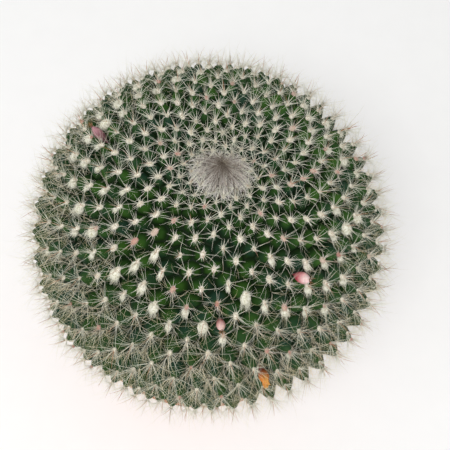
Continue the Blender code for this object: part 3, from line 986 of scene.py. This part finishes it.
# Dried petal: papery, matt and brown, tan at the ends.
dry_petal = strand_finish("dry_brown_petal", REMAIN_BROWN, REMAIN_TAN, REMAIN_BROWN, 0.9)
for name, polar_degrees, azimuth_degrees, radius, length, colour, end_colour in FRUITS:
    place, out = axil_near(polar_degrees, azimuth_degrees)
    fruit_mesh = drop(name + "_flesh", place + out * FRUIT_LIFT, out, radius, length, FRUIT_LATE)

    # Fruit skin: thin, smooth and softly glossy over juicy flesh that lets light in, finely
    # mottled, and paler towards the end.
    fruit_skin, tree, shader = start_material(name + "_pink_fruit_skin")
    where = add(tree, "ShaderNodeTexCoord").outputs["Object"]
    cells = add(tree, "ShaderNodeTexNoise", {"Vector": where, "Scale": 1 / FRUIT_CELL, "Detail": 2.0})
    along = add(tree, "ShaderNodeAttribute", attribute_name="along").outputs["Fac"]
    paler = add(tree, "ShaderNodeMapRange", {"Value": along, 1: 0.55, 2: 0.82})
    pink = add(
        tree,
        "ShaderNodeMix",
        {0: paler.outputs[0], 6: linear(colour), 7: linear(end_colour)},
        data_type="RGBA",
    )
    mottle = add(tree, "ShaderNodeMapRange", {"Value": cells.outputs[0], 1: 0.3, 2: 0.7, 3: 0.8, 4: 1.05})
    mottled = add(
        tree,
        "ShaderNodeMix",
        {0: 1.0, 6: pink.outputs[2], 7: mottle.outputs[0]},
        data_type="RGBA",
        blend_type="MULTIPLY",
    )
    tree.links.new(mottled.outputs[2], shader.inputs["Base Color"])
    shader.inputs["Roughness"].default_value = 0.4
    shader.inputs["Subsurface Weight"].default_value = 0.15
    shader.inputs["Subsurface Scale"].default_value = FRUIT_LIGHT_DEPTH
    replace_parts(grow(name + "_flesh", fruit_mesh, fruit_skin), name)

    spoke = draw.uniform(0, 2 * math.pi, REMAIN_HAIRS)
    flat = spokes(np.cross(out, [1, 0, 0]), np.cross(out, [0, 1, 0]), spoke)
    top = place + out * (FRUIT_LIFT + length * REMAIN_START)
    remain_mesh = strands(
        name + "_remains",
        np.repeat(top[None], REMAIN_HAIRS, axis=0) + flat * REMAIN_ROOM,
        np.repeat(out[None], REMAIN_HAIRS, axis=0) * REMAIN_HEADING[0] + flat * REMAIN_HEADING[1],
        REMAIN_LENGTH * draw.uniform(*REMAIN_LENGTHS, REMAIN_HAIRS),
        np.full(REMAIN_HAIRS, REMAIN_WIDTH),
        flat * REMAIN_BEND,
        np.full(REMAIN_HAIRS, REMAIN_WAVE),
        draw.uniform(*REMAIN_SHADES, REMAIN_HAIRS),
        segments=4,
        draw=draw,
    )
    grow(name + "_remains", remain_mesh, dry_petal)


# Withered flower: the dry orange tube and petals of an old flower, shrunk and twisted
# together, dark red-brown at the foot, partly its own colour and partly painted shade down in
# the axil, and yellow at the ends. It stays stuck in its axil.
FLOWER_RADIUS = 1.3 * MM
FLOWER_LENGTH = 7.0 * MM
FLOWER_ANGLES = (67, -65)
FLOWER_LATE = 1.7
FLOWER_CREASE = 0.4 * MM
FLOWER_CREASE_DEPTH = 0.2 * MM
FLOWER_PETALS = 34
PETAL_START = 0.68
PETAL_ROOM = 0.9 * MM
PETAL_LENGTH = 3.6 * MM
PETAL_WIDTH = 0.75 * MM
PETAL_LENGTHS = (0.6, 1.05)
PETAL_UPRIGHT = 0.95
PETAL_OUTWARD = (0.1, 0.5)
PETAL_CURL = (0.1, 0.5)
PETAL_WAVE = 0.05
PETAL_SHADES = (0.3, 0.3)
FLOWER_ORANGE = "#E08A36"
FLOWER_YELLOW = "#F4C46E"
# Painted shade, in part: the dark red-brown of the tube's foot, deep in the axil, and of the petals' roots
FLOWER_RED_BROWN_AND_SHADE = "#742C10"
FLOWER_SEED = 91

draw = np.random.default_rng(FLOWER_SEED)
place, out = axil_near(*FLOWER_ANGLES)
lifted = place + out * FRUIT_LIFT
tube_mesh = drop("withered_flower_tube", lifted, out, FLOWER_RADIUS, FLOWER_LENGTH, FLOWER_LATE)

# Dried flower tube: matt and creased, dark red-brown at its foot, partly painted shade of the axil, and
# orange above.
flower_orange, tree, shader = start_material("dry_orange_flower_tube")
where = add(tree, "ShaderNodeTexCoord").outputs["Object"]
creases = add(tree, "ShaderNodeTexNoise", {"Vector": where, "Scale": 1 / FLOWER_CREASE, "Detail": 3.0})
along = add(tree, "ShaderNodeAttribute", attribute_name="along").outputs["Fac"]
above_the_foot = add(tree, "ShaderNodeMapRange", {"Value": along, 1: 0.5, 2: 0.9})
dried_and_shaded = add(
    tree,
    "ShaderNodeMix",
    {0: above_the_foot.outputs[0], 6: linear(FLOWER_RED_BROWN_AND_SHADE), 7: linear(FLOWER_ORANGE)},
    data_type="RGBA",
)
creased = add(
    tree,
    "ShaderNodeBump",
    {"Height": creases.outputs[0], "Strength": 0.7, "Distance": FLOWER_CREASE_DEPTH},
)
tree.links.new(dried_and_shaded.outputs[2], shader.inputs["Base Color"])
tree.links.new(creased.outputs[0], shader.inputs["Normal"])
shader.inputs["Roughness"].default_value = 0.8
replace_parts(grow("withered_flower_tube", tube_mesh, flower_orange), "withered_flower")

spoke = draw.uniform(0, 2 * math.pi, FLOWER_PETALS)
flat = spokes(np.cross(out, [1, 0, 0]), np.cross(out, [0, 1, 0]), spoke)
foot = np.repeat((place + out * FLOWER_LENGTH * PETAL_START)[None], FLOWER_PETALS, axis=0)
heads = np.repeat(out[None], FLOWER_PETALS, axis=0) * PETAL_UPRIGHT
petal_mesh = strands(
    "withered_flower_petals",
    foot + flat * PETAL_ROOM,
    unit(heads + flat * draw.uniform(*PETAL_OUTWARD, (FLOWER_PETALS, 1))),
    PETAL_LENGTH * draw.uniform(*PETAL_LENGTHS, FLOWER_PETALS),
    np.full(FLOWER_PETALS, PETAL_WIDTH),
    -flat * draw.uniform(*PETAL_CURL, (FLOWER_PETALS, 1)),
    np.full(FLOWER_PETALS, PETAL_WAVE),
    np.clip(draw.normal(*PETAL_SHADES, FLOWER_PETALS), 0, 1),
    segments=5,
    draw=draw,
)

# Dried petal ends: papery and matt, dark red-brown at the root, partly painted shade, yellow at the point,
# some of them a deeper orange.
orange_petal = strand_finish("dry_orange_petal", FLOWER_RED_BROWN_AND_SHADE, FLOWER_YELLOW, FLOWER_ORANGE, 0.8)
grow("withered_flower_petals", petal_mesh, orange_petal)


# Soil: dark gritty cactus compost that fills the pot to just under its lip, with pale
# bits of pumice and small stones lying on it.
SOIL_BROWN = "#4A3A2C"
SOIL_DARK = "#241B14"
SOIL_CRUMB = 1.1 * MM
SOIL_RELIEF = 0.5 * MM
GRIT_STONES = 420
GRIT_RADIUS = 0.75 * MM
GRIT_SPREAD = (0.35, 1.0)
GRIT_FLATNESS = (0.6, 1.0)
GRIT_RAISED = 0.1
GRIT_FROM = 0.68
GRIT_TO = 0.985
GRIT_PIT = 0.3 * MM
GRIT_PIT_DEPTH = 0.2 * MM
GRIT_SEED = 101
GRIT_PALE = "#CFC6B6"
GRIT_BROWN = "#5B4A3A"

# Dry compost: matt and crumbly, dark brown with nearly black crumbs.
compost, tree, shader = start_material("dark_gritty_compost")
where = add(tree, "ShaderNodeTexCoord").outputs["Object"]
crumbs = add(tree, "ShaderNodeTexNoise", {"Vector": where, "Scale": 1 / SOIL_CRUMB, "Detail": 5.0})
mixed = add(tree, "ShaderNodeMapRange", {"Value": crumbs.outputs[0], 1: 0.38, 2: 0.62})
earth = add(
    tree,
    "ShaderNodeMix",
    {0: mixed.outputs[0], 6: linear(SOIL_DARK), 7: linear(SOIL_BROWN)},
    data_type="RGBA",
)
crumbly = add(
    tree,
    "ShaderNodeBump",
    {"Height": crumbs.outputs[0], "Strength": 1.0, "Distance": SOIL_RELIEF},
)
tree.links.new(earth.outputs[2], shader.inputs["Base Color"])
tree.links.new(crumbly.outputs[0], shader.inputs["Normal"])
shader.inputs["Roughness"].default_value = 0.95
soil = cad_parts["soil"]
soil.data.materials.clear()
soil.data.materials.append(compost)

draw = np.random.default_rng(GRIT_SEED)
_, soil_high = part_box("soil")
grit_out = np.sqrt(draw.uniform(GRIT_FROM**2, GRIT_TO**2, GRIT_STONES)) * (soil_high[0] - GRIT_RADIUS)
around = draw.uniform(0, 2 * math.pi, GRIT_STONES)
stone = bmesh.new()
bmesh.ops.create_icosphere(stone, subdivisions=2, radius=1)
stone_size = GRIT_RADIUS * draw.uniform(*GRIT_SPREAD, GRIT_STONES)
turned = draw.normal(size=(2, GRIT_STONES, 3))
first = unit(turned[0])
second = unit(np.cross(first, turned[1]))
third = np.cross(first, second)
lying = soil_high[2] + stone_size * GRIT_RAISED
grit_mesh = copies(
    "soil_grit",
    stone,
    np.stack([grit_out * np.cos(around), grit_out * np.sin(around), lying], axis=1),
    tuple(
        axis * (stone_size * draw.uniform(*GRIT_FLATNESS, GRIT_STONES))[:, None]
        for axis in (first, second, third)
    ),
    draw.uniform(0, 1, GRIT_STONES),
)

# Pumice and gravel: rough and matt, from pale grey-cream to brown, stone by stone, with pits.
grit_stone, tree, shader = start_material("pumice_and_gravel")
where = add(tree, "ShaderNodeTexCoord").outputs["Object"]
pits = add(tree, "ShaderNodeTexNoise", {"Vector": where, "Scale": 1 / GRIT_PIT, "Detail": 3.0})
kind = add(tree, "ShaderNodeAttribute", attribute_name="shade").outputs["Fac"]
stony = add(
    tree,
    "ShaderNodeMix",
    {0: kind, 6: linear(GRIT_PALE), 7: linear(GRIT_BROWN)},
    data_type="RGBA",
)
pitted = add(
    tree,
    "ShaderNodeBump",
    {"Height": pits.outputs[0], "Strength": 0.8, "Distance": GRIT_PIT_DEPTH},
)
tree.links.new(stony.outputs[2], shader.inputs["Base Color"])
tree.links.new(pitted.outputs[0], shader.inputs["Normal"])
shader.inputs["Roughness"].default_value = 0.9
grow("soil_grit", grit_mesh, grit_stone)


# Pot: a plain round flower pot, turned on a wheel from red clay and fired without a
# glaze, with a thick plain rim band and a drain hole in its foot.
POT_HEIGHT = 62 * MM
POT_FOOT = 28.5 * MM
POT_NECK = 39 * MM
POT_RIM = 41.5 * MM
POT_BAND = 10 * MM
POT_INSIDE = 37.5 * MM
POT_FLOOR = 5 * MM
POT_FLOOR_RADIUS = 24.5 * MM
POT_DRAIN = 6 * MM
POT_STEPS = 144

# The level edges of the turned shape that are sharp are rounded
POT_EDGE = 0.9 * MM
POT_LEVEL = 0.01 * MM
POT_SHARP = math.radians(20)
POT_SEAM = 0.001 * MM

CLAY_ORANGE = "#B8693F"
CLAY_DEEP = "#9C5433"
CLAY_BLOOM = "#D3A98A"
CLAY_GRAIN = 0.45 * MM
CLAY_GRAIN_DEPTH = 0.12 * MM
CLAY_CLOUD = 22 * MM
CLAY_RING = 3.158 * MM
CLAY_RING_DEPTH = 0.08 * MM

# A wave texture repeats over this length at a scale of 1
WAVE_PERIOD = math.pi / 10

pot_shape = bmesh.new()
profile = [
    pot_shape.verts.new((radius, 0, height))
    for radius, height in (
        (POT_DRAIN, 0),
        (POT_FOOT, 0),
        (POT_NECK, POT_HEIGHT - POT_BAND),
        (POT_RIM, POT_HEIGHT - POT_BAND),
        (POT_RIM, POT_HEIGHT),
        (POT_INSIDE, POT_HEIGHT),
        (POT_FLOOR_RADIUS, POT_FLOOR),
        (POT_DRAIN, POT_FLOOR),
    )
]
outline = [pot_shape.edges.new(pair) for pair in zip(profile, profile[1:] + profile[:1])]
bmesh.ops.spin(
    pot_shape,
    geom=profile + outline,
    axis=(0, 0, 1),
    cent=(0, 0, 0),
    angle=2 * math.pi,
    steps=POT_STEPS,
    use_merge=True,
)
bmesh.ops.remove_doubles(pot_shape, verts=pot_shape.verts[:], dist=POT_SEAM)
bmesh.ops.recalc_face_normals(pot_shape, faces=pot_shape.faces[:])
corners = [
    edge
    for edge in pot_shape.edges
    if abs(edge.verts[0].co.z - edge.verts[1].co.z) < POT_LEVEL and edge.calc_face_angle(0) > POT_SHARP
]
bmesh.ops.bevel(
    pot_shape,
    geom=corners,
    offset=POT_EDGE,
    offset_type="OFFSET",
    segments=4,
    profile=0.5,
    affect="EDGES",
    material=-1,
)
pot_mesh = bpy.data.meshes.new("clay_pot")
pot_shape.to_mesh(pot_mesh)
pot_shape.free()
pot_mesh.shade_smooth()

# Terracotta: porous fired clay, matt, orange-brown with darker flecks, faint rings from
# the turning, and a pale bloom of lime where water has dried.
terracotta, tree, shader = start_material("unglazed_terracotta")
where = add(tree, "ShaderNodeTexCoord").outputs["Object"]
flecks = add(tree, "ShaderNodeTexNoise", {"Vector": where, "Scale": 1 / CLAY_GRAIN, "Detail": 4.0})
clouds = add(tree, "ShaderNodeTexNoise", {"Vector": where, "Scale": 1 / CLAY_CLOUD, "Detail": 4.0})
rings = add(
    tree,
    "ShaderNodeTexWave",
    {"Vector": where, "Scale": WAVE_PERIOD / CLAY_RING, "Distortion": 1.5, "Detail": 2.0},
    bands_direction="Z",
)
fleck = add(tree, "ShaderNodeMapRange", {"Value": flecks.outputs[0], 1: 0.4, 2: 0.62})
clay = add(
    tree,
    "ShaderNodeMix",
    {0: fleck.outputs[0], 6: linear(CLAY_DEEP), 7: linear(CLAY_ORANGE)},
    data_type="RGBA",
)
limed = add(tree, "ShaderNodeMapRange", {"Value": clouds.outputs[0], 1: 0.5, 2: 0.75, 4: 0.55})
bloomed = add(
    tree,
    "ShaderNodeMix",
    {0: limed.outputs[0], 6: clay.outputs[2], 7: linear(CLAY_BLOOM)},
    data_type="RGBA",
)
turning = add(
    tree,
    "ShaderNodeBump",
    {"Height": rings.outputs[1], "Strength": 0.25, "Distance": CLAY_RING_DEPTH},
)
gritty = add(
    tree,
    "ShaderNodeBump",
    {
        "Height": flecks.outputs[0],
        "Strength": 0.5,
        "Distance": CLAY_GRAIN_DEPTH,
        "Normal": turning.outputs[0],
    },
)
tree.links.new(bloomed.outputs[2], shader.inputs["Base Color"])
tree.links.new(gritty.outputs[0], shader.inputs["Normal"])
shader.inputs["Roughness"].default_value = 0.85
shader.inputs["Specular IOR Level"].default_value = 0.3
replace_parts(grow("clay_pot", pot_mesh, terracotta), "pot")
